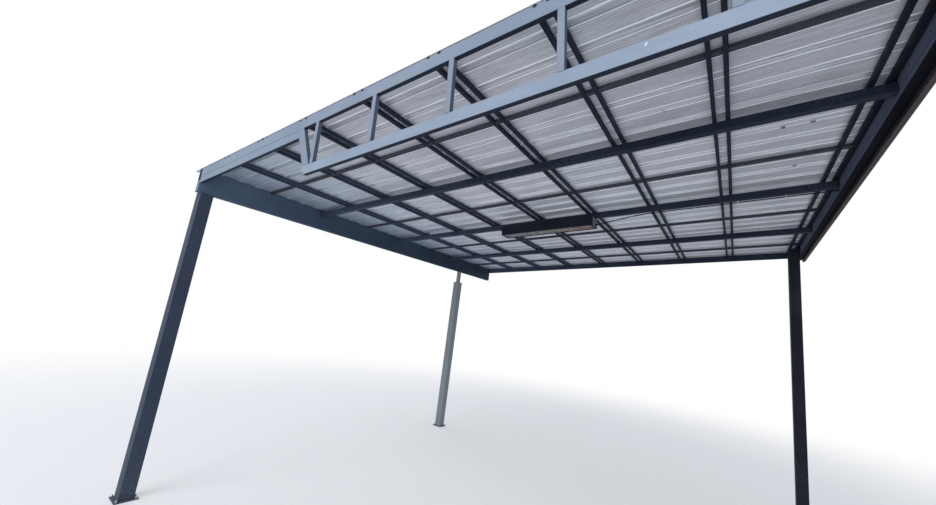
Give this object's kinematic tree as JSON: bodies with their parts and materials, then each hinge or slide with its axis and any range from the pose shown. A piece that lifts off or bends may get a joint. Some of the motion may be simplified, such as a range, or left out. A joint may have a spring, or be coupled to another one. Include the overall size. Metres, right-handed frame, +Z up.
{
  "type": "lean-to carport",
  "caption": "Lean-to carport: gently sloping ribbed metal roof on paired box-tube purlins, a shallow front truss, square steel posts and a strip lamp.",
  "frame": {"origin": "on the ground, under the middle of the roof", "axes": "+X up the slope to the wall side, +Y from the front truss to the rear, +Z up"},
  "size_m": [4.6548, 4.833, 3.1226],
  "materials": {
    "frame_paint": "dark blue-grey satin enamel, brushed on, a little dusty",
    "roof_metal": "aluminium-zinc coated sheet, dull silver with a fine spangle",
    "bridging": "grey-brown primer, matt",
    "packing": "dark brown stain, matt",
    "lamp_black": "black satin",
    "diffuser": "pale, dusty, ribbed",
    "cable": "dark grey sheath"
  },
  "bodies": {
    "root": {"front_top_chord": "frame_paint", "front_stub_chord": "frame_paint", "front_bottom_chord": "frame_paint", "front_end_strut": "frame_paint", "front_truss_posts": "frame_paint", "rear_beam": "frame_paint", "eave_beam_lower": "frame_paint", "eave_beam_upper": "frame_paint", "eave_end_plate": "frame_paint", "wall_beam_upper": "frame_paint", "wall_beam_lower": "frame_paint", "wall_packing_strip": "packing", "wall_flashing": "roof_metal", "front_left_post": "frame_paint", "rear_left_post": "frame_paint", "rear_left_post_neck": "frame_paint", "front_right_post": "frame_paint", "rear_right_post": "frame_paint", "post_base_plates": "frame_paint", "lamp_housing": "lamp_black", "lamp_end_caps": "lamp_black", "lamp_diffuser": "diffuser", "lamp_cable": "cable", "lamp_cable_clips": "frame_paint", "rafter_1": "frame_paint", "rafter_2": "frame_paint", "rafter_3": "frame_paint", "purlin_pair_1": "frame_paint", "purlin_pair_2": "frame_paint", "purlin_pair_3": "frame_paint", "purlin_pair_4": "frame_paint", "purlin_pair_5": "frame_paint", "purlin_pair_6": "frame_paint", "purlin_pair_7": "frame_paint", "purlin_pair_8": "frame_paint", "bridging_row_1": "bridging", "bridging_row_2": "bridging", "bridging_row_3": "bridging", "bridging_row_4": "bridging", "roof_sheet_1": "roof_metal", "roof_sheet_2": "roof_metal", "roof_sheet_3": "roof_metal", "roof_sheet_4": "roof_metal", "roof_sheet_5": "roof_metal", "roof_sheet_6": "roof_metal"}
  },
  "joints": []
}
